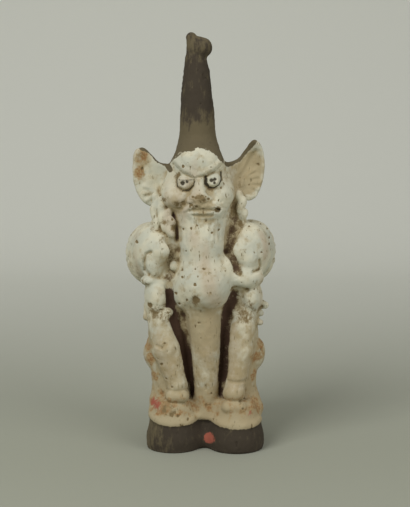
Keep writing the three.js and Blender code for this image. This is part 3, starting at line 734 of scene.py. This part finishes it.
def varied(name, *noises):
    """A layer's share with noises added to it, each given with its strength."""
    value = node("ShaderNodeAttribute", out="Fac", attribute_name=name)
    for noise_value, strength in noises:
        part = math("MULTIPLY", math("SUBTRACT", noise_value, 0.5), strength)
        value = math("ADD", value, part)
    return value


place = node("ShaderNodeTexCoord", out="Object")
in_mm = node("ShaderNodeMapping", {"Vector": place, "Scale": (1000, 1000, 1000)})
upright = node("ShaderNodeMapping", {"Vector": place, "Scale": (1000, 1000, 300)})


def noise(size, detail, vector=in_mm, rough=0.6):
    inputs = {"Vector": vector, "Scale": 1 / size, "Detail": detail, "Roughness": rough}
    return node("ShaderNodeTexNoise", inputs)


cloud = noise(24, 3)
mottle = noise(7, 6)
grit = noise(1.6, 3)
streak = noise(3.5, 4, upright)
dashes = noise(1.7, 1, upright)

WHITE_SLIP, GREY_SLIP, PINK_SLIP = linear("#d3ceb6"), linear("#c2c2b0"), linear("#c1b69f")
DUST_AND_SHADE_TAN, SOIL_AND_SHADE_BROWN, DEEP_SHADE, CRUMB = linear("#a5946f"), linear("#7e6d4c"), linear("#4d392c"), linear("#857a5d")
CLAY, PALE_CLAY, RED_PAINT = linear("#957048"), linear("#ab946c"), linear("#a35c4a")
DARK_PAINT, WORN_PAINT, BRUSH = linear("#423a2f"), linear("#665c45"), linear("#4a4436")

slip = mix(between(cloud, 0.4, 0.62), WHITE_SLIP, GREY_SLIP)
slip = mix(between(noise(30, 2, upright), 0.5, 0.65), slip, PINK_SLIP)
slip = mix(math("MULTIPLY", between(mottle, 0.5, 0.68), 0.5), slip, DUST_AND_SHADE_TAN)
# Tan dust and painted shade from the film layer.
slip = mix(math("MULTIPLY", between(varied("dust_and_shade", (mottle, 1.6), (streak, 0.8)), 0.2, 1.1), 0.8), slip, DUST_AND_SHADE_TAN)
speck_share = between(math("ADD", dashes, math("MULTIPLY", mottle, 0.35)), 0.84, 0.96)
slip = mix(speck_share, slip, CRUMB)
bare_share = between(varied("bare", (mottle, 1.8), (grit, 0.5)), 0.45, 0.75)
colour = mix(bare_share, slip, mix(between(grit, 0.4, 0.6), CLAY, PALE_CLAY))
red_share = between(varied("red", (mottle, 1), (grit, 0.6)), 0.4, 0.7)
# Soil, with painted shade in the hollows and gaps, darkest brown in the deepest of them.
soil_and_shade_share = between(varied("soil_and_shade", (mottle, 2), (grit, 1.2)), 0.35, 0.95)
colour = mix(soil_and_shade_share, colour, mix(between(varied("deep_shade", (mottle, 0.8)), 0.2, 0.8), SOIL_AND_SHADE_BROWN, DEEP_SHADE))
paint_dark = between(varied("dark", (streak, 2.2), (grit, 0.5)), 0.2, 0.9)
paint_share = between(varied("paint", (grit, 0.8), (streak, 0.6)), 0.35, 0.6)
colour = mix(paint_share, colour, mix(paint_dark, WORN_PAINT, DARK_PAINT))
colour = mix(red_share, colour, RED_PAINT)
colour = mix(between(varied("lines", (grit, 0.9)), 0.3, 0.8), colour, BRUSH)

height = math("ADD", math("MULTIPLY", soil_and_shade_share, -0.6), math("MULTIPLY", grit, 0.5))
bump = node("ShaderNodeBump", {"Height": height, "Strength": 0.6, "Distance": 0.0004})
shader = {"Base Color": colour, "Roughness": 0.92, "Specular IOR Level": 0.3, "Normal": bump}
surface = node("ShaderNodeBsdfPrincipled", shader)
node("ShaderNodeOutputMaterial", {"Surface": surface}, None)
thinned.materials.append(terracotta)

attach(figure, "root")
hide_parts(PIECE)

# The backdrop: a sheet of pale paper that lies on the table and sweeps up well behind the figure.
# At one metre behind the figure it has hardly risen, so it hides nothing from a camera at the back. It gets
# paler away from the figure, which makes up for the light that falls off with distance.
FRONT_EDGE, BEND_START, BEND_RADIUS, PAPER_WIDTH, PAPER_TOP = -7, 0.8, 0.6, 12, 2.5
profile = [(FRONT_EDGE, 0), (BEND_START, 0)]
for turn in np.radians(np.arange(5, 91, 5)):
    profile.append((BEND_START + BEND_RADIUS * np.sin(turn), BEND_RADIUS * (1 - np.cos(turn))))
profile.append((BEND_START + BEND_RADIUS, PAPER_TOP))
edges = [(side * PAPER_WIDTH / 2, depth, rise) for depth, rise in profile for side in (-1, 1)]
faces = [(n, n + 1, n + 3, n + 2) for n in range(0, len(edges) - 2, 2)]
floor_mesh = bpy.data.meshes.new("floor")
floor_mesh.from_pydata(edges, [], faces)
floor_mesh.shade_smooth()
floor = bpy.data.objects.new("floor", floor_mesh)
bpy.context.collection.objects.link(floor)
paper = bpy.data.materials.new("backdrop_paper")
paper.use_nodes = True
paper_shader = paper.node_tree.nodes["Principled BSDF"].inputs
tree = paper.node_tree
depth = node("ShaderNodeSeparateXYZ", {0: node("ShaderNodeTexCoord", out="Object")}, "Y")
graded = mix(between(depth, -0.1, 1.1), linear("#a3a596"), linear("#ecede4"))
tree.links.new(graded, paper_shader["Base Color"])
paper_shader["Roughness"].default_value = 0.95
paper_shader["Specular IOR Level"].default_value = 0.1
floor_mesh.materials.append(paper)


def softbox(name, place, size, power, target=(0, 0, 0.16)):
    light = bpy.data.lights.new(name, "AREA")
    light.energy = power
    light.size = size
    lamp = bpy.data.objects.new(name, light)
    bpy.context.collection.objects.link(lamp)
    lamp.location = place
    lamp.rotation_euler = (Vector(target) - Vector(place)).to_track_quat("-Z", "Y").to_euler()


softbox("key", (-0.7, -0.9, 1.1), 0.8, 12.5)
softbox("fill", (0.9, -0.8, 0.6), 0.8, 5)
world = bpy.data.worlds.new("studio")
bpy.context.scene.world = world
world.use_nodes = True
world.node_tree.nodes["Background"].inputs[0].default_value = (0.6, 0.6, 0.58, 1)
world.node_tree.nodes["Background"].inputs[1].default_value = 0.52

# The camera looks slightly down on the figure, level across, as in the photograph.
AIM = Vector((0.00344, 0, 0.1527))
RISE = np.radians(8)
camera_data = bpy.data.cameras.new("camera")
camera_data.lens = 88.76
camera = bpy.data.objects.new("camera", camera_data)
bpy.context.collection.objects.link(camera)
back = Vector((0, -np.cos(RISE), np.sin(RISE)))
camera.location = AIM + back
camera.rotation_euler = back.to_track_quat("Z", "Y").to_euler()
bpy.context.scene.camera = camera
bpy.context.scene.view_settings.view_transform = "Standard"
